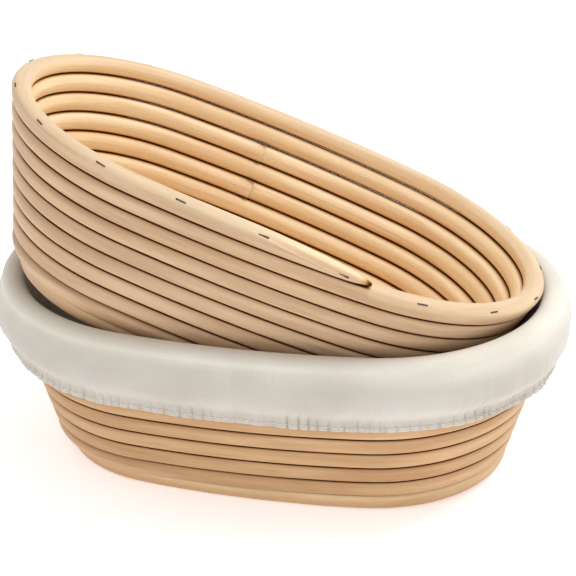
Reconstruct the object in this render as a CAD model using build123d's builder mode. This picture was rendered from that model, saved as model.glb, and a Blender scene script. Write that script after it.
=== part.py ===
from build123d import *
import os
from math import atan2, ceil, copysign, cos, floor, hypot, pi, radians, sin

# Two oval proving baskets of coiled rattan, one nested in the other, with a cloth liner between.
# Millimetres, +Z up. The origin is on the surface the lower basket stands on, at its centre,
# with the long axis of the lower basket along X.

# ---- driving dimensions of a basket ----
PITCH = 8.7               # one course of cane, measured up the wall
CANE = 8.58               # diameter of the cane
FLARE = radians(18.5)     # lean of the wall from vertical
BASE_HALF_LENGTH = 95.5   # centreline of the lowest course, half length
BASE_HALF_WIDTH = 54.8    # the same, half width
END_RADIUS = 51.6         # the same, radius of its round ends
FIRST_TURN = -5.0         # the coil starts this many courses inside the wall's foot
JOINTS = (1.47, 4.47, 6.47)   # turns at which one length of cane is spliced to the next
LAST_TURN = 9.0           # the coil ends here, at the rim
START = 0.08              # part of a circuit from the front middle to the coil's start and end
SPLICE = 34.0             # length of the slanted cut of a splice
RIM_TAPER = 64.0          # length over which the end of the rim cane is pared away
CUT_GAP = 0.1             # play between the two slanted faces of a splice
CORE_GAP = 0.6            # play between the flat splint in the coil's eye and the cane round it

# ---- staples ----
WIRE = 0.8
CROWN = 5.0
RIM_STAPLES = 18
WALL_STAPLES_A_TURN = 6.25
BASE_STAPLES_A_TURN = 5.25
LEG = 12.0
RIM_SHOULDER = radians(60)      # where a crown lies, from the wall's outside towards its top
HIDDEN_SHOULDER = radians(103)

# ---- liner ----
CLOTH = 0.8               # cloth with its nap and folds
PLAY = 0.3                # between the cloth and what it lies on
HEM_TURN = 6.2            # height of the hem outside the wall, in courses
CASING = 4.2              # height and depth of the sewn casing at the hem
CASING_WALL = 0.7
ELASTIC_WIDTH = 2.2
ELASTIC_DEPTH = 1.0
SKIRT_BULGE = 4.5         # how far the skirt stands off the basket, half way down
THREAD = 0.5
STITCH = 3.0
STITCH_STEP = 9.0

# ---- how the upper basket leans in the lower one ----
SEAT_POSITION = (-24.0, -10.45, 57.75)
SEAT_ROLL = -5.6
SEAT_PITCH = 19.7
SEAT_YAW = 3.6

# ---- what follows from them ----
RADIUS = CANE / 2
COURSE_MIDDLE = RADIUS
SIDE_SAG = BASE_HALF_WIDTH - END_RADIUS
ARC_OFFSET = BASE_HALF_LENGTH - END_RADIUS
SIDE_RADIUS = (ARC_OFFSET ** 2 / SIDE_SAG + END_RADIUS + BASE_HALF_WIDTH) / 2
SIDE_CENTRE = SIDE_RADIUS - BASE_HALF_WIDTH
END_SWEEP = atan2(SIDE_CENTRE, ARC_OFFSET)
ROUNDING = 1.1            # how far a course's middle part stands outside the straight wall line


def outline_angle(fraction, growth):
    """Direction of the outline's normal after this part of a circuit, from the front middle."""
    side = (SIDE_RADIUS + growth) * (pi - 2 * END_SWEEP)
    end = (END_RADIUS + growth) * 2 * END_SWEEP
    left = (fraction % 1.0) * 2 * (side + end)
    angle = -pi / 2
    for length, radius in ((side / 2, SIDE_RADIUS), (end, END_RADIUS), (side, SIDE_RADIUS),
                           (end, END_RADIUS), (side / 2, SIDE_RADIUS)):
        if left <= length:
            return angle + left / (radius + growth)
        left -= length
        angle += length / (radius + growth)
    return angle


def outline_point(angle, growth, height):
    """Point of the oval that lies this far outside the lowest course's centreline."""
    across, along = sin(angle), cos(angle)
    if atan2(abs(across), abs(along)) > END_SWEEP:
        x = SIDE_RADIUS * along
        y = copysign(SIDE_RADIUS * abs(across) - SIDE_CENTRE, across)
    else:
        x = copysign(ARC_OFFSET, along) + END_RADIUS * along
        y = END_RADIUS * across
    return Vector(x + growth * along, y + growth * across, height)


def coil_growth(turn):
    """How far the coil's centreline is outside the lowest course: flat first, then up the wall."""
    if turn <= 0:
        return turn * PITCH
    part = turn - floor(turn)
    rounding = cos((pi / 2 - FLARE) * part) - (1 - part)   # each course lies one pitch from the last
    return PITCH * (floor(turn) * sin(FLARE) + rounding)


def coil_height(turn):
    if turn <= 0:
        return COURSE_MIDDLE
    part = turn - floor(turn)
    return COURSE_MIDDLE + PITCH * (floor(turn) * cos(FLARE) + sin((pi / 2 - FLARE) * part))


def coil_angle(turn):
    return outline_angle(turn + START, coil_growth(turn))


def coil_point(turn):
    return outline_point(coil_angle(turn), coil_growth(turn), coil_height(turn))


def coil_up(turn):
    """Direction from the course before to this one, square to the cane."""
    angle = coil_angle(turn)
    rise = (pi / 2 - FLARE) * min(max(turn, 0.0), 1.0)
    return Vector(cos(angle) * cos(rise), sin(angle) * cos(rise), sin(rise))


def coil_plane(turn):
    """Plane across the cane: z along it, y away from the course before, x into the basket."""
    step = 0.001
    along = (coil_point(turn + step) - coil_point(turn - step)).normalized()
    inward = coil_up(turn).cross(along).normalized()
    return Plane(origin=coil_point(turn), x_dir=inward, z_dir=along)


def arc_ends(first, last):
    """Turns at which the outline changes from a side arc to an end arc, with both ends."""
    side = SIDE_RADIUS * (pi - 2 * END_SWEEP)
    ends = []
    for whole in range(floor(first) - 1, ceil(last) + 2):
        for quarter in range(4):
            turn = whole + 0.5
            for _ in range(6):
                growth = coil_growth(turn)
                half_side = side / 2 + growth * (pi / 2 - END_SWEEP)
                end = (END_RADIUS + growth) * 2 * END_SWEEP
                lengths = (half_side, half_side + end, 3 * half_side + end, 3 * half_side + 2 * end)
                turn = whole + lengths[quarter] / (4 * half_side + 2 * end) - START
            if first + 0.01 < turn < last - 0.01:
                ends.append(turn)
    return [first] + sorted(ends) + [last]


def cane_length(first, last):
    steps = 400
    turns = [first + (last - first) * step / steps for step in range(steps + 1)]
    return sum((coil_point(b) - coil_point(a)).length for a, b in zip(turns, turns[1:]))


def cane(label, first, last, pare_start=None, pare_end=None):
    """One length of cane between two turns, as tangent arcs, with its slanted ends cut."""
    with BuildPart() as piece:
        with BuildLine() as route:
            ends = arc_ends(first, last)
            for a, b in zip(ends, ends[1:]):
                ThreePointArc(coil_point(a), coil_point((a + b) / 2), coil_point(b))
        with BuildSketch(coil_plane(first)):
            Circle(RADIUS)
        sweep(path=route.wire())
        if pare_start:
            add(pare_start, mode=Mode.SUBTRACT)
        if pare_end:
            add(pare_end, mode=Mode.SUBTRACT)
    # paring leaves loose shavings beside the cut, which are dropped
    whole = piece.part.solids().sort_by(SortBy.VOLUME)[-1]
    whole.label = label
    return whole


def splice_cutter(turn, ends_here):
    """Wedge that pares a cane to one side of the slanted line of a splice."""
    across = coil_plane(turn)
    wedge = Plane(origin=across.origin, x_dir=across.z_dir, z_dir=-across.y_dir)
    reach = 1.25
    length, depth = reach * SPLICE / 2, reach * RADIUS
    play = CUT_GAP / 2 * hypot(length, depth) / depth
    shift = -play if ends_here else play
    corner = (shift + length, -depth) if ends_here else (shift - length, depth)
    with BuildPart() as cutter:
        with BuildSketch(wedge):
            with BuildLine():
                Polyline((shift - length, -depth), (shift + length, depth), corner, close=True)
            make_face()
        extrude(amount=PITCH / 2 - 0.02, both=True)
    return cutter.part


def rim_cutter():
    """Wedge over the end of the rim cane, which pares it down to the course below."""
    across = coil_plane(LAST_TURN)
    side_view = Plane(origin=across.origin, x_dir=-across.z_dir, z_dir=across.x_dir)
    spare = 2.0
    corners = (-spare, -RADIUS), (RIM_TAPER, RADIUS), (RIM_TAPER, RADIUS + spare), (-spare, RADIUS + spare)
    with BuildPart() as cutter:
        with BuildSketch(side_view):
            with BuildLine():
                Polyline(*corners, close=True)
            make_face()
        extrude(amount=PITCH, both=True)
    return cutter.part


def base_core():
    """Flat splint that fills the eye of the coil, its edge following the first turn's inside."""
    steps = 80
    followed = 0.965      # part of the first turn, short of the cane's blunt start
    inset = RADIUS + CORE_GAP
    turns = [FIRST_TURN + followed * step / steps for step in range(steps + 1)]
    edge = [outline_point(coil_angle(turn), coil_growth(turn) - inset, 0) for turn in turns]
    with BuildPart() as core:
        with BuildSketch(Plane.XY.offset(COURSE_MIDDLE - RADIUS)):
            with BuildLine():
                Polyline(*[(point.X, point.Y) for point in edge], close=True)
            make_face()
        extrude(amount=CANE)
    core.part.label = "base_core"
    return core.part


def pared_height(turn):
    """Height of the rim cane's pared face above its middle, where it has one."""
    left = (LAST_TURN - turn) * cane_length(LAST_TURN - 1, LAST_TURN)
    return min(2 * left / RIM_TAPER - 1, 1) * RADIUS


def staples(label, turns, shoulder, drop):
    """U-shaped wire staples, crown along the cane, legs down into the course it is fixed to."""
    with BuildPart() as group:
        for turn in turns:
            across = coil_plane(turn)
            crown = across.origin - across.x_dir * RADIUS * cos(shoulder)
            crown += across.y_dir * (min(RADIUS * sin(shoulder), pared_height(turn)) - drop)
            with BuildSketch(Plane(origin=crown, x_dir=across.z_dir, z_dir=-across.x_dir)):
                Rectangle(CROWN, WIRE)
                with Locations((WIRE / 2 - CROWN / 2, -LEG / 2), (CROWN / 2 - WIRE / 2, -LEG / 2)):
                    Rectangle(WIRE, LEG)
            extrude(amount=WIRE / 2, both=True)
    group.part.label = label
    return group.part


def basket_pieces():
    """Every piece of one basket, standing level on the origin."""
    first, second, third = JOINTS
    half = SPLICE / 2 / cane_length(first, first + 1)
    ends = [splice_cutter(turn, True) for turn in JOINTS]
    starts = [splice_cutter(turn, False) for turn in JOINTS]
    canes = [
        cane("base_cane", FIRST_TURN + 0.008, first + half, None, ends[0]),
        cane("wall_cane_1", first - half, second + half, starts[0], ends[1]),
        cane("wall_cane_2", second - half, third + half, starts[1], ends[2]),
        cane("rim_cane", third - half, LAST_TURN, starts[2], rim_cutter()),
    ]
    rim_turns = [LAST_TURN - 1 + (step + 0.65) / RIM_STAPLES for step in range(RIM_STAPLES)]
    wall_count = int((LAST_TURN - 1.4) * WALL_STAPLES_A_TURN)
    wall_turns = [0.35 + step / WALL_STAPLES_A_TURN for step in range(wall_count)]
    base_count = int(-(FIRST_TURN + 1.3) * BASE_STAPLES_A_TURN)
    base_turns = [FIRST_TURN + 1.2 + step / BASE_STAPLES_A_TURN for step in range(base_count)]
    fixings = [
        staples("base_staples", base_turns, HIDDEN_SHOULDER, WIRE / 2),
        staples("wall_staples", wall_turns, HIDDEN_SHOULDER, WIRE / 2),
        staples("rim_staples", rim_turns, RIM_SHOULDER, WIRE / 2),
    ]
    return [base_core()] + canes + fixings


# ---- liner ----
def ring_path(growth):
    """Closed oval of four tangent arcs, from the front middle, at height zero."""
    corners = [-pi / 2, -END_SWEEP, END_SWEEP, pi - END_SWEEP, pi + END_SWEEP, 3 * pi / 2]
    with BuildLine() as oval:
        for a, b in zip(corners, corners[1:]):
            ThreePointArc(*[outline_point(angle, growth, 0) for angle in (a, (a + b) / 2, b)])
    return oval.wire()


def ring(label, section):
    """Closed band whose section, as points of growth and height, is carried round the oval."""
    front = Plane(origin=(0, -BASE_HALF_WIDTH, 0), x_dir=(0, -1, 0), z_dir=(-1, 0, 0))
    with BuildPart() as band:
        with BuildSketch(front):
            with BuildLine():
                Polyline(*section, close=True)
            make_face()
        sweep(path=ring_path(0))
    band.part.label = label
    return band.part


def wall_spot(turn, outward):
    """Growth and height of a spot this many courses up the wall and this far outside its middle."""
    return (
        turn * PITCH * sin(FLARE) + outward * cos(FLARE),
        COURSE_MIDDLE + turn * PITCH * cos(FLARE) - outward * sin(FLARE),
    )


def cloth_section(spots):
    """Outline of a strip of cloth of even thickness along these spots."""
    near, far = [], []
    for index, (growth, height) in enumerate(spots):
        before = spots[max(index - 1, 0)]
        after = spots[min(index + 1, len(spots) - 1)]
        run, rise = after[0] - before[0], after[1] - before[1]
        scale = CLOTH / 2 / hypot(run, rise)
        near.append((growth - rise * scale, height + run * scale))
        far.append((growth + rise * scale, height - run * scale))
    return near + far[::-1]


def liner_base_panel():
    growth = wall_spot(0.6, -(RADIUS + PLAY + CLOTH))[0] - PLAY
    with BuildPart() as panel:
        with BuildSketch(Plane.XY.offset(CANE + PLAY)):
            add(ring_path(growth))
            make_face()
        extrude(amount=CLOTH)
    panel.part.label = "liner_base_panel"
    return panel.part


def roll_spots(first, last, count):
    """Spots on the cloth's bend over the rim; degrees from the wall's inside over its top."""
    radius = RADIUS + PLAY + CLOTH / 2
    spots = []
    for step in range(count + 1):
        turned = radians(first + (last - first) * step / count)
        growth, height = wall_spot(LAST_TURN, -radius * cos(turned))
        rise = radius * sin(turned)
        spots.append((growth + rise * sin(FLARE), height + rise * cos(FLARE)))
    return spots


def liner_wall_band():
    """The band inside the wall and up to the top of its bend over the rim."""
    inside = -(RADIUS + PLAY + CLOTH / 2)
    foot = wall_spot(0.72, inside)
    return ring("liner_wall_band", cloth_section([foot] + roll_spots(0, 88, 5)))


def hem_spot():
    return wall_spot(HEM_TURN, RADIUS + ROUNDING + PLAY + CASING / 2)


def liner_skirt():
    """The band's outer part, from the top of the bend down to the casing."""
    hem_growth, hem_height = hem_spot()
    shoulder = roll_spots(92, 165, 4)
    top_growth, top_height = shoulder[-1]
    drop = top_height - hem_height
    bulge = (top_growth + SKIRT_BULGE / 3, top_height - drop * 0.35)
    low = (top_growth - SKIRT_BULGE / 3, top_height - drop * 0.68)
    hem = (hem_growth + CASING / 4, hem_height + CASING / 2 + CLOTH)
    return ring("liner_skirt", cloth_section(shoulder + [bulge, low, hem]))


def liner_hem_casing():
    """Hollow tube sewn along the skirt's edge."""
    growth, height = hem_spot()
    front = Plane(origin=(0, -BASE_HALF_WIDTH - growth, height), x_dir=(0, -1, 0), z_dir=(-1, 0, 0))
    with BuildPart() as casing:
        with BuildSketch(front):
            RectangleRounded(CASING, CASING, CASING / 3)
            hollow = CASING - 2 * CASING_WALL
            RectangleRounded(hollow, hollow, CASING / 6, mode=Mode.SUBTRACT)
        sweep(path=ring_path(0))
    casing.part.label = "liner_hem_casing"
    return casing.part


def liner_elastic():
    growth, height = hem_spot()
    half_depth, half_width = ELASTIC_DEPTH / 2, ELASTIC_WIDTH / 2
    section = [
        (growth - half_depth, height - half_width),
        (growth + half_depth, height - half_width),
        (growth + half_depth, height + half_width),
        (growth - half_depth, height + half_width),
    ]
    return ring("liner_elastic", section)


def stitches(label, growth, height):
    """Threads of one seam round the oval."""
    count = int(ring_path(growth).length / STITCH_STEP)
    with BuildPart() as group:
        for step in range(count):
            angle = outline_angle((step + 0.5) / count, growth)
            point = outline_point(angle, growth, height)
            along = Vector(-sin(angle), cos(angle), 0)
            with BuildSketch(Plane(origin=point, x_dir=(cos(angle), sin(angle), 0), z_dir=along)):
                Rectangle(THREAD, THREAD)
            extrude(amount=STITCH / 2, both=True)
    group.part.label = label
    return group.part


def liner_side_seam():
    """Threads up the one seam that closes the band into a loop, at the left end."""
    inside = -(RADIUS + PLAY + CLOTH + THREAD / 2 + PLAY / 3)
    with BuildPart() as group:
        for step in range(8):
            growth, height = wall_spot(1.2 + step * STITCH_STEP / PITCH, inside)
            point = outline_point(pi, growth, height)
            up = Vector(-sin(FLARE), 0, cos(FLARE))
            with BuildSketch(Plane(origin=point, x_dir=(0, 1, 0), z_dir=up)):
                Rectangle(THREAD, THREAD)
            extrude(amount=STITCH / 2, both=True)
    group.part.label = "liner_side_seam"
    return group.part


def liner_pieces():
    seam_growth = wall_spot(0.6, -(RADIUS + PLAY + CLOTH))[0] - PLAY - STITCH
    seam_height = CANE + PLAY + CLOTH + THREAD
    growth, height = hem_spot()
    return [
        liner_base_panel(),
        liner_wall_band(),
        liner_skirt(),
        liner_hem_casing(),
        liner_elastic(),
        stitches("liner_base_stitches", seam_growth, seam_height),
        stitches("liner_hem_stitches", growth + CASING / 2 + THREAD, height),
        liner_side_seam(),
    ]


def write(piece, label, place=None):
    piece = piece.moved(place) if place else piece
    piece.label = label
    export_step(piece, f"parts/{label}.step")


os.makedirs("parts", exist_ok=True)
seat = Location(SEAT_POSITION) * Rotation(0, 0, SEAT_YAW) * Rotation(0, SEAT_PITCH, 0)
seat = seat * Rotation(SEAT_ROLL, 0, 0)
for piece in basket_pieces():
    name = piece.label
    write(piece, "lower_" + name)
    write(piece, "upper_" + name, seat)
for piece in liner_pieces():
    write(piece, piece.label)
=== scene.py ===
import math
from math import cos, pi, radians, sin

import bpy
import numpy as np
from mathutils import Matrix, Vector


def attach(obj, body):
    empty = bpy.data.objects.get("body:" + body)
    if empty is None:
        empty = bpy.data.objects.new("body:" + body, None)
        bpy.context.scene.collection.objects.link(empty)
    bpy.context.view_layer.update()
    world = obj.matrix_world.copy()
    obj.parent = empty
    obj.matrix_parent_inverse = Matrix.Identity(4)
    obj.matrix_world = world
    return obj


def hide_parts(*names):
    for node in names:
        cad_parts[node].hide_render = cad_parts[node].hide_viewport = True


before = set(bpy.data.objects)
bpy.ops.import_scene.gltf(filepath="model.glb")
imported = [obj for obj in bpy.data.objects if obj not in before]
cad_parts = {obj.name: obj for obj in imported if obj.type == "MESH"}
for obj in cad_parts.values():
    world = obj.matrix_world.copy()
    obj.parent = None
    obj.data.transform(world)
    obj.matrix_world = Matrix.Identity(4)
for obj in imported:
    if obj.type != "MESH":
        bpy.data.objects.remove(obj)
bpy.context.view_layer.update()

# ---- the coil and the liner, in millimetres ----
MM = 0.001
PITCH = 8.7
CANE = 8.58
RADIUS = CANE / 2
FLARE = radians(18.5)
BASE_HALF_LENGTH = 95.5
BASE_HALF_WIDTH = 54.8
END_RADIUS = 51.6
FIRST_TURN = -5.0
JOINTS = (1.47, 4.47, 6.47)
LAST_TURN = 9.0
START = 0.08
SPLICE = 34.0
RIM_TAPER = 64.0
RIM_STAPLES = 18
RIM_SHOULDER = radians(60)
RIM_SQUASH = 0.86         # height of the top half of the last course, to that of the others
PRESS = 0.03              # how far each course presses into the next, so no light comes through
HEM_TURN = 6.2
CASING = 4.2
PLAY = 0.3
CLOTH = 0.8
SHOULDER_ROOM = 0.45      # more play over the rim's flat outer shoulder

# ---- a rim staple ----
STAPLE_RADIUS = 0.34
STAPLE_HALF = 2.3         # half the length of its crown
STAPLE_CORNER = 0.5
STAPLE_LEG = 3.2
STAPLE_STANDS = 0.02      # how far the middle of its wire stands off the cane

# ---- the cloth, measured back from its turned-in edge ----
CLOTH_THICKNESS = 0.5
CLOTH_STEP = 0.9
HEM_START = 9.0
HEM_FOLD = 5.4
HEM_SEAM = 9.4
SKIRT_MIDDLE = 18.0
SKIRT_START = 36.0
RIM_GROWTH = 25.0         # where its length round is measured
THREAD_PITCH = 0.62       # of its plain weave

# ---- how the upper basket leans in the lower one ----
SEAT = (Matrix.Translation((-24.0, -10.45, 57.75)) @ Matrix.Rotation(radians(3.6), 4, "Z")
        @ Matrix.Rotation(radians(19.7), 4, "Y") @ Matrix.Rotation(radians(-5.6), 4, "X"))
SIDE_SAG = BASE_HALF_WIDTH - END_RADIUS
ARC_OFFSET = BASE_HALF_LENGTH - END_RADIUS
SIDE_RADIUS = (ARC_OFFSET ** 2 / SIDE_SAG + END_RADIUS + BASE_HALF_WIDTH) / 2
SIDE_CENTRE = SIDE_RADIUS - BASE_HALF_WIDTH
END_SWEEP = math.atan2(SIDE_CENTRE, ARC_OFFSET)
AROUND = 24
STEPS_A_TURN = 230
CLOTH_COLUMNS = 1500
scatter = np.random.default_rng(7)


def smooth_step(low, high, value):
    part = np.clip((value - low) / (high - low), 0, 1)
    return part * part * (3 - 2 * part)


def wander(values, waves, seed):
    """Slow wandering between about -1 and 1 along values, from a few sines."""
    source = np.random.default_rng(seed)
    total = np.zeros_like(values)
    for wave in waves:
        total += np.sin(values * 2 * pi / wave + source.uniform(0, 2 * pi)) * source.uniform(0.5, 1)
    return total / len(waves)


def outline_angle(fraction, growth):
    """Direction of the outline's normal after part of a circuit from the front middle."""
    growth = growth + np.zeros_like(fraction)
    half_side = (SIDE_RADIUS + growth) * (pi / 2 - END_SWEEP)
    end = (END_RADIUS + growth) * 2 * END_SWEEP
    left = (fraction % 1.0) * (4 * half_side + 2 * end)
    angle = np.full_like(left, -pi / 2)
    for length, radius in ((half_side, SIDE_RADIUS), (end, END_RADIUS), (2 * half_side, SIDE_RADIUS),
                           (end, END_RADIUS), (half_side, SIDE_RADIUS)):
        angle = angle + np.clip(left, 0, length) / (radius + growth)
        left = left - length
    return angle


def outline_point(angle, growth, height):
    across, along = np.sin(angle), np.cos(angle)
    side = np.arctan2(abs(across), abs(along)) > END_SWEEP
    round_x = np.copysign(ARC_OFFSET, along) + END_RADIUS * along
    side_y = np.copysign(SIDE_RADIUS * abs(across) - SIDE_CENTRE, across)
    x = np.where(side, SIDE_RADIUS * along, round_x) + growth * along
    y = np.where(side, side_y, END_RADIUS * across) + growth * across
    return np.stack([x, y, height + np.zeros_like(x)], axis=-1)


def coil(turn):
    """Centre points of the coil, its normal directions and its rise from the floor, for turns."""
    part = turn - np.floor(turn)
    rounding = np.cos((pi / 2 - FLARE) * part) - (1 - part)
    rise = np.sin((pi / 2 - FLARE) * part)
    growth = np.where(turn <= 0, turn * PITCH, PITCH * (np.floor(turn) * sin(FLARE) + rounding))
    height = RADIUS + np.where(turn <= 0, 0, PITCH * (np.floor(turn) * cos(FLARE) + rise))
    angle = outline_angle(turn + START, growth)
    return outline_point(angle, growth, height), angle


def unit(vectors):
    return vectors / np.linalg.norm(vectors, axis=-1, keepdims=True)


def coil_frame(turn):
    """Centre, direction into the basket, direction away from the course before, and along."""
    centre, angle = coil(turn)
    along = unit(coil(turn + 0.001)[0] - coil(turn - 0.001)[0])
    lean = (pi / 2 - FLARE) * np.clip(turn, 0, 1)
    up = np.stack([np.cos(angle) * np.cos(lean), np.sin(angle) * np.cos(lean), np.sin(lean)], axis=-1)
    inward = unit(np.cross(up, along))
    up = unit(np.cross(along, inward))
    return centre, inward, up, along


# ---- meshes ----
def grid_mesh(name, points, ring_closed, long_closed, grain, marks=None, place=None, capped=False):
    """Mesh of a grid of points [long, around, 3] in millimetres, with its grain coordinates."""
    rows, columns = points.shape[:2]
    index = np.arange(rows * columns).reshape(rows, columns)
    rows_next = np.roll(index, -1, 0) if long_closed else index[1:]
    rows_here = index if long_closed else index[:-1]
    shift = np.roll(rows_here, -1, 1), np.roll(rows_next, -1, 1)
    quads = np.stack([rows_here, shift[0], shift[1], rows_next], axis=-1)
    if not ring_closed:
        quads = quads[:, :-1]
    faces = quads.reshape(-1, 4).tolist()
    if capped:
        faces.append(index[0][::-1].tolist())
        faces.append(index[-1].tolist())
    flat = points.reshape(-1, 3)
    if place is not None:
        turned = np.array(place.to_3x3())
        flat = flat @ turned.T + np.array(place.translation)
    mesh = bpy.data.meshes.new(name)
    mesh.from_pydata((flat * MM).tolist(), [], faces)
    mesh.update()
    store = mesh.attributes.new("grain", "FLOAT_VECTOR", "POINT")
    store.data.foreach_set("vector", grain.reshape(-1).astype(np.float32))
    for label, values in (marks or {}).items():
        store = mesh.attributes.new(label, "FLOAT", "POINT")
        store.data.foreach_set("value", values.reshape(-1).astype(np.float32))
    mesh.polygons.foreach_set("use_smooth", np.ones(len(mesh.polygons), bool))
    piece = bpy.data.objects.new(name, mesh)
    bpy.context.scene.collection.objects.link(piece)
    return piece


def section_shape(turn, around):
    """Across and up offsets of an even cane's skin: flat outside, rounder inside."""
    outside = smooth_step(0.2, -0.3, np.cos(around))[None, :]
    climbing = smooth_step(0.0, 1.0, turn)[:, None]
    top_course = smooth_step(LAST_TURN - 1.02, LAST_TURN - 0.9, turn)[:, None]
    crown = np.clip(np.sin(around), 0, 1)[None, :]
    power = 2.25 + 1.15 * outside * climbing * (1 - 0.55 * top_course * crown)
    c, s = np.cos(around)[None, :], np.sin(around)[None, :]
    across = np.sign(c) * abs(c) ** (2 / power) * RADIUS
    squash = 1 - (1 - RIM_SQUASH) * top_course * (s > 0)
    upward = np.sign(s) * abs(s) ** (2 / power) * (PITCH / 2 + PRESS) * squash
    return across, upward


def cane_section(turn, around, seed, length):
    """The even section with slow unevenness along the cane."""
    across, upward = section_shape(turn, around)
    across = across * (1 + 0.012 * wander(length, (31, 47, 83), seed))[:, None]
    across = across + 0.07 * wander(length, (23, 61, 113), seed + 1)[:, None]
    return across, upward


def pared_height(left):
    """Height of the pared face over the cane's middle, this far from the rim cane's end."""
    return -RADIUS + 0.1 + 2.1 * RADIUS * np.clip(left / RIM_TAPER, 0, 1)


def cane(label, first, last, seed, starts_splice, ends_how, place, prefix):
    """One length of cane as a swept skin, with its slanted or pared ends."""
    turn = np.linspace(first, last, int((last - first) * STEPS_A_TURN))
    centre, inward, up, _ = coil_frame(turn)
    length = np.concatenate([[0], np.cumsum(np.linalg.norm(np.diff(centre, axis=0), axis=1))])
    around = np.arange(AROUND) / AROUND * 2 * pi
    across, upward = cane_section(turn, around, seed, length)
    if starts_splice:
        edge = (SPLICE / 2 - length[:, None]) / (SPLICE / 2) * RADIUS
        across = np.maximum(across, np.clip(edge, -RADIUS * 1.2, RADIUS * 0.98) - 0.03)
    left = length[-1] - length[:, None]
    if ends_how == "splice":
        edge = -(SPLICE / 2 - left) / (SPLICE / 2) * RADIUS
        across = np.minimum(across, np.clip(edge, -RADIUS * 0.98, RADIUS * 1.2) + 0.03)
    if ends_how == "pared":
        pared = pared_height(left)
        over = pared - upward
        upward = np.where(left < RIM_TAPER, pared - 0.5 * (over + np.sqrt(over ** 2 + 0.5)), upward)
        upward = np.maximum(upward, -RADIUS)
        sunk = np.clip(1 - (pared + RADIUS) / RADIUS, 0, 0.999)
        chord = RADIUS * np.sqrt(1 - sunk ** 2)
        across = np.clip(across, -chord, chord)
    points = centre[:, None] + inward[:, None] * across[..., None] + up[:, None] * upward[..., None]
    has_next = (turn < LAST_TURN - 1)[:, None]
    bend = ((pi / 2 - FLARE) * (np.clip(turn + 1, 0, 1) - np.clip(turn, 0, 1)))[:, None]
    next_side = (upward * np.cos(bend) + across * np.sin(bend)) / (PITCH / 2)
    last_side = -upward / (PITCH / 2)
    has_last = (turn > FIRST_TURN + 1)[:, None]
    # seam: how near a point is to the contact with the next or last course, where the material paints shade
    seam = np.maximum(smooth_step(0.80, 1.0, next_side) * has_next,
                      smooth_step(0.80, 1.0, last_side) * has_last)
    # inner: how far round towards the inside face, which the material paints lighter than the outside
    inner = smooth_step(-0.25, 0.45, across / RADIUS) * np.ones_like(upward)
    crown = smooth_step(-0.2, 0.8, upward / RADIUS) * (turn > LAST_TURN - 1.0)[:, None]
    arc = around[None, :] * RADIUS + np.zeros_like(upward)
    tone = wander(length, (170, 390, 777), seed + 2)[:, None] + np.zeros_like(upward)
    grain = np.stack([length[:, None] + seed * 1000.0 + np.zeros_like(arc), arc, tone * 5], axis=-1)
    marks = {"seam": seam, "inner": inner, "crown": crown, "tone": tone * 0.5 + 0.5}
    return grid_mesh(f"{prefix}_{label}_skin", points, True, False, grain, marks, place)


def rounded_wire(spots, radius, side, around=8):
    """Ring points of a thin wire along spots in the plane square to side, [long, around, 3]."""
    spots = np.array(spots)
    along = unit(np.gradient(spots, axis=0))
    side = unit(side + 0 * along)
    other = unit(np.cross(along, side))
    turn = np.arange(around) / around * 2 * pi
    return (spots[:, None] + side[:, None] * (np.cos(turn) * radius)[None, :, None]
            + other[:, None] * (np.sin(turn) * radius)[None, :, None])


def join(name, pieces):
    """The pieces as one object of this name."""
    bpy.ops.object.select_all(action="DESELECT")
    for piece in pieces:
        piece.select_set(True)
    bpy.context.view_layer.objects.active = pieces[0]
    bpy.ops.object.join()
    pieces[0].name = name
    pieces[0].data.name = name
    return pieces[0]


def rim_staples(prefix, place):
    """Flattened U wires driven over the rim cane's outer shoulder."""
    wires = []
    turns = LAST_TURN - 1 + (np.arange(RIM_STAPLES) + 0.65) / RIM_STAPLES
    centre, inward, up, along = coil_frame(turns)
    skin_across, skin_up = (side[:, 0] for side in section_shape(turns, np.array([pi - RIM_SHOULDER])))
    rim_course = coil(np.linspace(LAST_TURN - 1, LAST_TURN, 400))[0]
    rim_length = float(np.linalg.norm(np.diff(rim_course, axis=0), axis=1).sum())
    for number in range(RIM_STAPLES):
        skew = scatter.uniform(-0.08, 0.08)
        out = -inward[number] * cos(RIM_SHOULDER) + up[number] * sin(RIM_SHOULDER)
        left = (LAST_TURN - turns[number]) * rim_length
        over = min(skin_up[number], pared_height(left))
        crown = centre[number] + inward[number] * skin_across[number] + up[number] * over
        crown = crown + out * STAPLE_STANDS
        across = np.cross(out, along[number])
        run = along[number] * cos(skew) + across * sin(skew)
        spots = [crown - run * STAPLE_HALF - out * STAPLE_LEG]
        for way, parts in ((-1, np.linspace(0, pi / 2, 4)), (1, np.linspace(pi / 2, 0, 4))):
            for part in parts:
                aside = STAPLE_HALF - STAPLE_CORNER + STAPLE_CORNER * cos(part)
                below = STAPLE_CORNER - STAPLE_CORNER * sin(part)
                spots.append(crown + run * way * aside - out * below)
        spots.append(crown + run * STAPLE_HALF - out * STAPLE_LEG)
        points = rounded_wire(spots, STAPLE_RADIUS, np.cross(run, out))
        wires.append(grid_mesh("wire", points, True, False, points, None, place, True))
    return join(f"{prefix}_rim_staple_wires", wires)


# ---- cloth ----
def wall_spot(turn, outward):
    return (turn * PITCH * sin(FLARE) + outward * cos(FLARE),
            RADIUS + turn * PITCH * cos(FLARE) - outward * sin(FLARE))


def roll_spots(first, last, count):
    spots = []
    for turned in np.radians(np.linspace(first, last, count)):
        radius = RADIUS + PLAY + CLOTH / 2 + SHOULDER_ROOM * float(smooth_step(0.8, 2.2, turned))
        growth, height = wall_spot(LAST_TURN, -radius * cos(turned))
        rise = radius * sin(turned)
        spots.append((growth + rise * sin(FLARE), height + rise * cos(FLARE)))
    return spots


def panel_edge():
    """Growth and height of the base panel's sewn edge."""
    return wall_spot(0.6, -(RADIUS + PLAY + CLOTH))[0] - PLAY + 0.2, CANE + PLAY + CLOTH / 2


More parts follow.
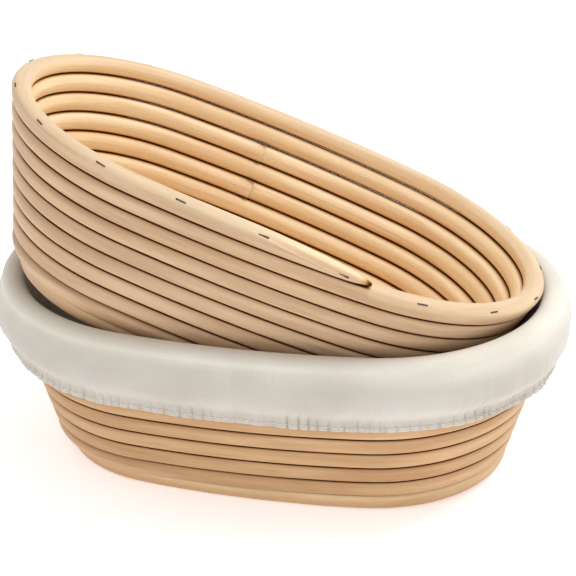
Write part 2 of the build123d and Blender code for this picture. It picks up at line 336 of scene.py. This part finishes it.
def liner_profile():
    """Spots of growth and height from the base panel's seam, over the rim and down to the hem's fold."""
    inside = -(RADIUS + PLAY + CLOTH / 2)
    edge_growth, edge_height = panel_edge()
    foot = [(edge_growth - 0.5, edge_height + 0.1), (edge_growth + 0.1, edge_height + 0.3)]
    foot += [wall_spot(turn, inside + 0.2) for turn in (0.72, 2.5, 4.5, 6.5, 8.2)]
    shoulder = roll_spots(0, 165, 9)
    top_growth, top_height = shoulder[-1]
    hem_growth, hem_height = wall_spot(HEM_TURN, RADIUS + 1.1 + PLAY + CASING / 2)
    drop = top_height - hem_height
    skirt = [
        (top_growth + 1.9, top_height - drop * 0.2),
        (top_growth + 2.0, top_height - drop * 0.42),
        (top_growth + 0.4, top_height - drop * 0.68),
        (hem_growth + CASING * 0.45, hem_height + CASING * 0.75),
        (hem_growth + CASING * 0.34, hem_height + CASING * 0.1),
        (hem_growth + CASING * 0.42, hem_height - CASING * 0.52),
        (hem_growth - CASING * 0.1, hem_height - CASING * 0.62),
        (hem_growth - CASING * 0.3, hem_height + CASING * 0.1),
        (hem_growth - CASING * 0.1, hem_height + CASING * 0.5),
    ]
    return np.array(foot + shoulder + skirt)


def resample(spots, step):
    """Smooth curve through spots (Catmull-Rom), with points about step apart."""
    padded = np.concatenate([spots[:1] * 2 - spots[1:2], spots, spots[-1:] * 2 - spots[-2:-1]])
    fine = []
    for a, b, c, d in zip(padded, padded[1:], padded[2:], padded[3:]):
        for part in np.linspace(0, 1, 12, endpoint=False):
            fine.append(0.5 * (2 * b + (c - a) * part + (2 * a - 5 * b + 4 * c - d) * part ** 2
                               + (3 * b - a - 3 * c + d) * part ** 3))
    fine.append(spots[-1])
    fine = np.array(fine)
    length = np.concatenate([[0], np.cumsum(np.linalg.norm(np.diff(fine, axis=0), axis=1))])
    even = np.linspace(0, length[-1], int(length[-1] / step))
    return np.stack([np.interp(even, length, fine[:, k]) for k in (0, 1)], axis=-1), even


def periodic_noise(fraction, waves, seed):
    """Wandering round the oval that closes on itself: waves are whole numbers of cycles."""
    source = np.random.default_rng(seed)
    total = np.zeros_like(fraction)
    for wave in waves:
        total += np.sin(fraction * 2 * pi * wave + source.uniform(0, 2 * pi)) * source.uniform(0.5, 1)
    return total / math.sqrt(len(waves))


def pleats(fraction):
    """Pleats drawn up by the elastic: broad crests with narrow creases between, 0 at a crease."""
    drift = fraction + 0.0016 * periodic_noise(fraction, (5, 9, 14, 23), 11)
    narrow = np.minimum(abs(periodic_noise(drift, (43, 59, 71, 88), 3)) * 1.3, 1.0)
    crimp = np.minimum(abs(periodic_noise(drift, (138, 151, 167), 4)) * 1.3, 1.0)
    return narrow ** 0.7, crimp ** 0.7


def cloth_push(fraction, down, total):
    """How far the gathered cloth stands out from its smooth profile, and how much it is creased."""
    hem_start, fold = total - HEM_START, total - HEM_FOLD
    narrow, crimp = pleats(fraction)
    reach = 17.0 + 11.0 * np.clip(periodic_noise(fraction, (17, 29, 41), 21), -1, 1)
    rise = np.clip(1 - (hem_start - down) / reach, 0, 1) ** 1.15
    casing = smooth_step(hem_start - 2.0, hem_start + 0.8, down)
    outer_layer = 1 - 0.88 * smooth_step(fold, fold + 1.2, down)
    slack = 0.5 + 0.5 * np.clip(periodic_noise(fraction, (3, 5, 8, 13), 8), -1, 1)
    sway = 0.5 + 0.5 * np.clip(periodic_noise(fraction, (19, 27, 38), 9), -1, 1)
    hangs = smooth_step(total - SKIRT_START, total - SKIRT_MIDDLE, down)
    depth = 0.55 + 0.45 * np.clip(periodic_noise(fraction, (7, 11, 16), 31), -1, 1)
    push = (1.5 * narrow * rise * depth + 0.4 * crimp * casing
            + (0.7 * slack + 0.8 * sway) * hangs * (1 - 0.6 * casing))
    crease = (1 - narrow) * rise * (0.35 + 0.65 * depth) + 0.25 * (1 - crimp) * casing
    return push * outer_layer, crease, casing


def liner_cloth():
    """Inside wall, bend over the rim, gathered skirt and hem as one sheet, folded at the hem."""
    profile, down = resample(liner_profile(), CLOTH_STEP)
    fraction = np.arange(CLOTH_COLUMNS) / CLOTH_COLUMNS
    total = down[-1]
    f, d = fraction[:, None], down[None, :]
    push, crease, casing = cloth_push(f, d, total)
    inside = smooth_step(70.0, 55.0, d)
    wrinkle = 0.10 * periodic_noise(f + 0.0003 * d, (11, 17, 29), 13) * inside
    growth = profile[None, :, 0] + push - abs(wrinkle)
    height = profile[None, :, 1] + 0.32 * (pleats(f)[1] - 0.5) * casing
    points = outline_point(outline_angle(f + np.zeros_like(growth), growth), growth, height)
    rim = outline_point(outline_angle(fraction, RIM_GROWTH), RIM_GROWTH, 0.0)
    round_length = float(np.linalg.norm(rim - np.roll(rim, 1, 0), axis=1).sum())
    grain = np.stack([f * round_length + 0 * growth, d + 0 * growth, 0 * growth], axis=-1)
    # Mask of the hanging skirt, where the material paints shade.
    skirt_shade = smooth_step(total - 40.0, total - 28.0, d) + 0 * growth
    marks = {"crease": np.clip(crease, 0, 1) + 0 * growth, "skirt_shade": skirt_shade}
    return grid_mesh("liner_cloth", points, False, True, grain, marks), round_length * MM, total * MM


def liner_base_cloth():
    """Oval base panel with slight wrinkles, its edge turned down a little at the seam."""
    edge, level = panel_edge()
    rings, columns = 44, 400
    fraction = np.arange(columns) / columns
    outline = outline_point(outline_angle(fraction, edge), edge, 0.0)
    inner = np.linspace(1, 0.004, rings)
    points = outline[None] * inner[:, None, None]
    x, y = points[..., 0], points[..., 1]
    waves = (np.sin(x / 17 + y / 29 + 1) + np.sin(y / 13 - x / 41 + 2) + np.sin(x / 9 + y / 23) * 0.4)
    points[..., 2] = level + 0.16 * (waves + 1.4) * (1 - inner[:, None] ** 8)
    grain = np.stack([x + 500, y, 0 * x], axis=-1)
    marks = {"crease": 0.3 + 0 * x, "skirt_shade": 0 * x}
    points, grain = points.transpose(1, 0, 2), grain.transpose(1, 0, 2)
    marks = {name: values.T for name, values in marks.items()}
    return grid_mesh("liner_base_cloth", points, False, True, grain, marks)


def hem_thread_stitches(name, count, dash):
    """Short rounded threads through the casing's upper edge, lying on the gathered cloth."""
    profile, down = resample(liner_profile(), CLOTH_STEP)
    row = int(np.argmin(abs(down - (down[-1] - HEM_SEAM))))
    vertices, faces, offset = [], [], 0
    for number in range(count):
        spots = (number + 0.5) / count + np.array([-0.5, -0.25, 0.0, 0.25, 0.5]) * dash
        push = cloth_push(spots, down[row], down[-1])[0]
        out = profile[row, 0] + push + CLOTH / 2 + np.array([-0.45, 0.02, 0.1, 0.02, -0.45])
        line = outline_point(outline_angle(spots, out), out, profile[row, 1])
        tube = rounded_wire(line, 0.2, np.array([0.0, 0.0, 1.0]), 6)
        rows, columns = tube.shape[:2]
        index = np.arange(rows * columns).reshape(rows, columns) + offset
        here, after = index[:-1], index[1:]
        quads = np.stack([here, np.roll(here, -1, 1), np.roll(after, -1, 1), after], axis=-1)
        faces += quads.reshape(-1, 4).tolist()
        faces += [index[0][::-1].tolist(), index[-1].tolist()]
        vertices.append(tube.reshape(-1, 3))
        offset += rows * columns
    mesh = bpy.data.meshes.new(name)
    mesh.from_pydata((np.concatenate(vertices) * MM).tolist(), [], faces)
    mesh.update()
    mesh.polygons.foreach_set("use_smooth", np.ones(len(mesh.polygons), bool))
    piece = bpy.data.objects.new(name, mesh)
    bpy.context.scene.collection.objects.link(piece)
    return piece


# ---- materials ----
def new_material(name):
    material = bpy.data.materials.new(name)
    material.use_nodes = True
    tree = material.node_tree
    shader = tree.nodes["Principled BSDF"]
    return material, tree, shader


def math_node(tree, operation, first, second=None, third=None):
    made = tree.nodes.new("ShaderNodeMath")
    made.operation = operation
    for slot, value in enumerate((first, second, third)):
        if value is None:
            continue
        if isinstance(value, (int, float)):
            made.inputs[slot].default_value = value
        else:
            tree.links.new(value, made.inputs[slot])
    return made.outputs[0]


def mix_colour(tree, factor, first, second, blend="MIX"):
    made = tree.nodes.new("ShaderNodeMix")
    made.data_type = "RGBA"
    made.blend_type = blend
    for slot, value in ((0, factor), (6, first), (7, second)):
        if isinstance(value, (int, float)):
            made.inputs[slot].default_value = value
        elif isinstance(value, tuple):
            made.inputs[slot].default_value = value
        else:
            tree.links.new(value, made.inputs[slot])
    return made.outputs[2]


def srgb(red, green, blue):
    linear = []
    for value in (red, green, blue):
        value /= 255
        linear.append(value / 12.92 if value <= 0.04045 else ((value + 0.055) / 1.055) ** 2.4)
    return (*linear, 1.0)


def attribute(tree, name, output="Fac"):
    made = tree.nodes.new("ShaderNodeAttribute")
    made.attribute_name = name
    return made.outputs[output]


def stretched(tree, source, scale, turn=0.0):
    """The coordinates scaled by three numbers and turned about z, for noise along a grain."""
    made = tree.nodes.new("ShaderNodeMapping")
    tree.links.new(source, made.inputs["Vector"])
    made.inputs["Scale"].default_value = scale
    made.inputs["Rotation"].default_value = (0, 0, turn)
    return made.outputs["Vector"]


def noise(tree, vector, scale, detail=3.0, rough=0.55):
    made = tree.nodes.new("ShaderNodeTexNoise")
    tree.links.new(vector, made.inputs["Vector"])
    made.inputs["Scale"].default_value = scale
    made.inputs["Detail"].default_value = detail
    made.inputs["Roughness"].default_value = rough
    return made.outputs["Fac"]


def ramp(tree, source, low, high):
    made = tree.nodes.new("ShaderNodeMapRange")
    made.interpolation_type = "SMOOTHSTEP"
    tree.links.new(source, made.inputs["Value"])
    made.inputs["From Min"].default_value = low
    made.inputs["From Max"].default_value = high
    return made.outputs["Result"]


def bump(tree, shader, height, strength, distance):
    made = tree.nodes.new("ShaderNodeBump")
    made.inputs["Strength"].default_value = strength
    made.inputs["Distance"].default_value = distance
    tree.links.new(height, made.inputs["Height"])
    tree.links.new(made.outputs["Normal"], shader.inputs["Normal"])


def rattan_material(name, swept, outer_low=(185, 152, 119), outer_high=(206, 175, 143)):
    """Peeled rattan: long fibres and slanted pores, with painted light making the inside bright and golden
    and painted shade making the outside darker, duller and pinker.
    """
    material, tree, shader = new_material(name)
    if swept:
        grain = attribute(tree, "grain", "Vector")
    else:
        place = tree.nodes.new("ShaderNodeTexCoord").outputs["Object"]
        grain = stretched(tree, place, (1000, 1000, 1000))
    broad = noise(tree, stretched(tree, grain, (0.012, 0.22, 0.2)), 1.0, 2.0)
    fibre = noise(tree, stretched(tree, grain, (0.055, 2.4, 1.0), 0.05), 1.0, 4.0, 0.65)
    thread = noise(tree, stretched(tree, grain, (0.16, 6.5, 1.0), 0.035), 1.0, 2.0, 0.6)
    pore = noise(tree, stretched(tree, grain, (0.5, 4.2, 1.0), 0.12), 1.0, 1.0, 0.5)
    # Painted light and shade: darker outer colours for the outside, which faces down and away from the
    # light, and brighter golden inner colours for the inside, which faces up into it; the rim's top gets a
    # tone between the two.
    outer = mix_colour(tree, ramp(tree, broad, 0.3, 0.7), srgb(*outer_low), srgb(*outer_high))
    if swept:
        inner = mix_colour(tree, ramp(tree, broad, 0.3, 0.7), srgb(230, 198, 153), srgb(244, 220, 182))
        body = mix_colour(tree, attribute(tree, "inner"), outer, inner)
        crown = mix_colour(tree, ramp(tree, broad, 0.3, 0.7), srgb(206, 180, 146), srgb(218, 194, 162))
        body = mix_colour(tree, attribute(tree, "crown"), body, crown)
        warm = mix_colour(tree, 1.0, body, (0.90, 0.80, 0.70, 1), "MULTIPLY")
        body = mix_colour(tree, math_node(tree, "MULTIPLY", attribute(tree, "tone"), 0.55), body, warm)
    else:
        body = mix_colour(tree, ramp(tree, broad, 0.3, 0.7), srgb(222, 182, 130), srgb(238, 203, 150))
    dark_fibre = mix_colour(tree, 1.0, body, (0.80, 0.68, 0.56, 1), "MULTIPLY")
    fibre_strength = math_node(tree, "MULTIPLY", ramp(tree, fibre, 0.5, 0.78), 0.55)
    body = mix_colour(tree, fibre_strength, body, dark_fibre)
    pale_fibre = mix_colour(tree, 1.0, body, (1.10, 1.10, 1.08, 1), "MULTIPLY")
    body = mix_colour(tree, ramp(tree, thread, 0.5, 0.72), body, pale_fibre)
    speck = mix_colour(tree, 1.0, body, (0.55, 0.38, 0.26, 1), "MULTIPLY")
    body = mix_colour(tree, math_node(tree, "MULTIPLY", ramp(tree, pore, 0.68, 0.80), 0.5), body, speck)
    if swept:
        # Painted shade in the grooves between courses: a warmer, darker band beside each seam for the shade
        # and warm bounce there, and a deep dark core for the shadow in the groove, darker outside than
        # inside.
        warm_edge_shade = mix_colour(tree, 1.0, body, (0.72, 0.52, 0.36, 1), "MULTIPLY")
        body = mix_colour(tree, ramp(tree, attribute(tree, "seam"), 0.0, 0.5), body, warm_edge_shade)
        depth = mix_colour(tree, attribute(tree, "inner"), (0.08, 0.042, 0.025, 1), (0.30, 0.19, 0.12, 1))
        groove_shade = mix_colour(tree, 1.0, body, depth, "MULTIPLY")
        body = mix_colour(tree, ramp(tree, attribute(tree, "seam"), 0.25, 0.75), body, groove_shade)
    tree.links.new(body, shader.inputs["Base Color"])
    rough = math_node(tree, "MULTIPLY_ADD", fibre, 0.25, 0.40)
    tree.links.new(rough, shader.inputs["Roughness"])
    if swept:
        open_cane = math_node(tree, "SUBTRACT", 1.0, ramp(tree, attribute(tree, "seam"), 0.0, 0.4))
        tree.links.new(math_node(tree, "MULTIPLY", open_cane, 0.35), shader.inputs["Specular IOR Level"])
    else:
        shader.inputs["Specular IOR Level"].default_value = 0.35
    height = math_node(tree, "ADD", math_node(tree, "MULTIPLY", fibre, 0.7),
                       math_node(tree, "MULTIPLY", thread, 0.3))
    bump(tree, shader, height, 0.35, 0.00025)
    return material


def cloth_material(name):
    """Unbleached cotton and linen in plain weave, with slubs, painted shade on the hanging skirt and
    painted shade in the creases of the pleats.
    """
    material, tree, shader = new_material(name)
    grain = attribute(tree, "grain", "Vector")
    split = tree.nodes.new("ShaderNodeSeparateXYZ")
    tree.links.new(grain, split.inputs[0])
    wobble = noise(tree, stretched(tree, grain, (0.5, 0.5, 1)), 1.0, 2.0)
    shift = math_node(tree, "MULTIPLY", wobble, 0.6)
    warp, weft = (
        math_node(tree, "SINE", math_node(
            tree, "MULTIPLY", math_node(tree, "ADD", split.outputs[way], shift), 2 * pi / THREAD_PITCH))
        for way in (0, 1))
    weave = math_node(tree, "MULTIPLY_ADD", math_node(tree, "MULTIPLY", warp, weft), 0.5, 0.5)
    slub_up = noise(tree, stretched(tree, grain, (1.9, 0.05, 1)), 1.0, 3.0, 0.6)
    slub_round = noise(tree, stretched(tree, grain, (0.05, 1.9, 1)), 1.0, 3.0, 0.6)
    broad = noise(tree, stretched(tree, grain, (0.02, 0.03, 1)), 1.0, 2.0)
    body = mix_colour(tree, ramp(tree, broad, 0.3, 0.7), srgb(214, 208, 196), srgb(226, 221, 211))
    # Painted shade on the hanging skirt, which faces down and away from the light.
    skirt_shade = mix_colour(tree, 1.0, body, (0.77, 0.757, 0.765, 1), "MULTIPLY")
    body = mix_colour(tree, attribute(tree, "skirt_shade"), body, skirt_shade)
    threads = math_node(tree, "MAXIMUM", ramp(tree, slub_up, 0.55, 0.8), ramp(tree, slub_round, 0.55, 0.8))
    darker = mix_colour(tree, 1.0, body, (0.86, 0.82, 0.76, 1), "MULTIPLY")
    body = mix_colour(tree, math_node(tree, "MULTIPLY", threads, 0.55), body, darker)
    gap = mix_colour(tree, 1.0, body, (0.88, 0.86, 0.82, 1), "MULTIPLY")
    body = mix_colour(tree, math_node(tree, "SUBTRACT", 1.0, ramp(tree, weave, 0.0, 0.5)), body, gap)
    # Painted shade in the creases between the gathered pleats.
    fold = mix_colour(tree, 1.0, body, (0.74, 0.69, 0.62, 1), "MULTIPLY")
    body = mix_colour(tree, ramp(tree, attribute(tree, "crease"), 0.35, 0.95), body, fold)
    tree.links.new(body, shader.inputs["Base Color"])
    tree.links.new(math_node(tree, "MULTIPLY_ADD", weave, 0.1, 0.82), shader.inputs["Roughness"])
    shader.inputs["Specular IOR Level"].default_value = 0.15
    shader.inputs["Sheen Weight"].default_value = 0.25
    shader.inputs["Sheen Roughness"].default_value = 0.5
    height = math_node(tree, "ADD", math_node(tree, "MULTIPLY", weave, 0.6),
                       math_node(tree, "MULTIPLY", math_node(tree, "ADD", slub_up, slub_round), 0.5))
    bump(tree, shader, height, 0.30, 0.00025)
    return material


def plain_procedural(name, light, dark, scale, metallic, roughness, bump_size):
    """Small fittings: two tones mottled by noise in object coordinates, with a fine bump."""
    material, tree, shader = new_material(name)
    place = tree.nodes.new("ShaderNodeTexCoord").outputs["Object"]
    spots = noise(tree, place, scale, 4.0, 0.6)
    tree.links.new(mix_colour(tree, ramp(tree, spots, 0.35, 0.7), light, dark), shader.inputs["Base Color"])
    tree.links.new(math_node(tree, "MULTIPLY_ADD", spots, 0.3, roughness), shader.inputs["Roughness"])
    shader.inputs["Metallic"].default_value = metallic
    bump(tree, shader, spots, 0.3, bump_size)
    return material


def assign(piece, material):
    piece.data.materials.clear()
    piece.data.materials.append(material)


def thicken(cloth):
    """Give a sheet its thickness, half to each side."""
    shell = cloth.modifiers.new("thickness", "SOLIDIFY")
    shell.thickness = CLOTH_THICKNESS * MM
    shell.offset = 0


# ---- baskets ----
def basket(prefix, place, rattan, wire):
    first, second, third = JOINTS
    half = SPLICE / 2 / 640
    lengths = [
        ("base_cane", FIRST_TURN + 0.008, first + half, False, "splice"),
        ("wall_cane_1", first - half, second + half, True, "splice"),
        ("wall_cane_2", second - half, third + half, True, "splice"),
        ("rim_cane", third - half, LAST_TURN, True, "pared"),
    ]
    for number, (label, start, end, spliced, ends_how) in enumerate(lengths):
        seed = 11 + number * 5 + (40 if place is not None else 0)
        piece = cane(label, start, end, seed, spliced, ends_how, place, prefix)
        assign(piece, rattan)
        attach(piece, f"{prefix}_basket")
        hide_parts(f"{prefix}_{label}")
    wires = rim_staples(prefix, place)
    assign(wires, wire)
    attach(wires, f"{prefix}_basket")
    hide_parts(f"{prefix}_rim_staples")


rattan = rattan_material("peeled_rattan", True)
# A darker, more orange copy of the rattan for the lower basket's outer wall: painted shade.
shaded_rattan = rattan_material("peeled_rattan_shaded", True, (186, 147, 106), (207, 171, 130))
splint = rattan_material("rattan_splint", False)
wire = plain_procedural("staple_wire", srgb(92, 74, 58), srgb(48, 38, 30), 900.0, 0.6, 0.35, 0.00005)
cotton = cloth_material("cotton_linen")
thread = plain_procedural(
    "sewing_thread", srgb(238, 233, 222), srgb(214, 206, 192), 1500.0, 0.0, 0.6, 0.0001)
rubber = plain_procedural("elastic_tape", srgb(240, 240, 236), srgb(222, 221, 214), 700.0, 0.0, 0.5, 0.0001)

basket("lower", None, shaded_rattan, wire)
basket("upper", SEAT, rattan, wire)

cloth, round_length, down_length = liner_cloth()
thicken(cloth)
assign(cloth, cotton)
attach(cloth, "liner")
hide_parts("liner_wall_band", "liner_skirt", "liner_hem_casing")

base_cloth = liner_base_cloth()
thicken(base_cloth)
assign(base_cloth, cotton)
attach(base_cloth, "liner")
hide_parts("liner_base_panel")

hem_thread = hem_thread_stitches("liner_hem_thread", 230, 0.0028)
assign(hem_thread, thread)
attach(hem_thread, "liner")
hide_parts("liner_hem_stitches")

for label, material in (("base_core", splint), ("base_staples", wire), ("wall_staples", wire)):
    for prefix in ("lower", "upper"):
        assign(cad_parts[f"{prefix}_{label}"], material)
for label in ("liner_base_stitches", "liner_side_seam"):
    assign(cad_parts[label], thread)
assign(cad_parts["liner_elastic"], rubber)


# ---- floor, light and camera ----
def floor():
    mesh = bpy.data.meshes.new("floor")
    reach = 4.0
    corners = [(-reach, -reach, 0), (reach, -reach, 0), (reach, reach, 0), (-reach, reach, 0)]
    mesh.from_pydata(corners, [], [(0, 1, 2, 3)])
    ground = bpy.data.objects.new("floor", mesh)
    ground.location.z = -0.0002
    bpy.context.scene.collection.objects.link(ground)
    material, tree, shader = new_material("pale_floor")
    place = tree.nodes.new("ShaderNodeTexCoord").outputs["Object"]
    cloud = noise(tree, place, 1.5, 2.0)
    pale = mix_colour(tree, cloud, srgb(250, 250, 250), srgb(253, 253, 253))
    tree.links.new(pale, shader.inputs["Base Color"])
    shader.inputs["Roughness"].default_value = 0.9
    shader.inputs["Specular IOR Level"].default_value = 0.1
    shader.inputs["Emission Color"].default_value = (1, 1, 1, 1)
    shader.inputs["Emission Strength"].default_value = 0.42
    assign(ground, material)


def soft_light(name, place, size, power, colour=(1, 1, 1)):
    lamp = bpy.data.lights.new(name, "AREA")
    lamp.shape = "DISK"
    lamp.size = size
    lamp.energy = power
    lamp.color = colour
    holder = bpy.data.objects.new(name, lamp)
    holder.location = place
    aim = Vector((0, 0, 0.08)) - Vector(place)
    holder.rotation_euler = aim.to_track_quat("-Z", "Y").to_euler()
    bpy.context.scene.collection.objects.link(holder)


floor()
soft_light("key", (0.8, 0.45, 1.7), 0.9, 24)
soft_light("fill", (-1.2, -1.4, 1.1), 1.6, 2.5)
world = bpy.data.worlds.new("studio")
world.use_nodes = True
world.node_tree.nodes["Background"].inputs["Color"].default_value = (1, 1, 1, 1)
world.node_tree.nodes["Background"].inputs["Strength"].default_value = 0.75
bpy.context.scene.world = world
bpy.context.scene.view_settings.view_transform = "Standard"

TURN, LIFT, ROLL = 0.2472, 0.4827, 0.009     # direction it looks along, in radians
AIM_ASIDE, AIM_ABOVE = -0.00146072, 0.04760821    # how far it looks past the object's origin, in radians
DISTANCE = 1.458
LENS = 201.1
SENSOR = 36
forward = Vector((-sin(TURN) * cos(LIFT), cos(TURN) * cos(LIFT), -sin(LIFT)))
right = Vector((cos(TURN), sin(TURN), 0))
above = right.cross(forward)
camera_x = right * cos(ROLL) - above * sin(ROLL)
camera_y = right * sin(ROLL) + above * cos(ROLL)
axes = Matrix((camera_x, camera_y, -forward)).transposed()
axes = axes @ Matrix.Rotation(AIM_ASIDE, 3, "Y") @ Matrix.Rotation(AIM_ABOVE, 3, "X")
lens = bpy.data.cameras.new("camera")
lens.lens = LENS
lens.sensor_width = SENSOR
camera = bpy.data.objects.new("camera", lens)
camera.matrix_world = Matrix.Translation(-forward * DISTANCE) @ axes.to_4x4()
bpy.context.scene.collection.objects.link(camera)
bpy.context.scene.camera = camera
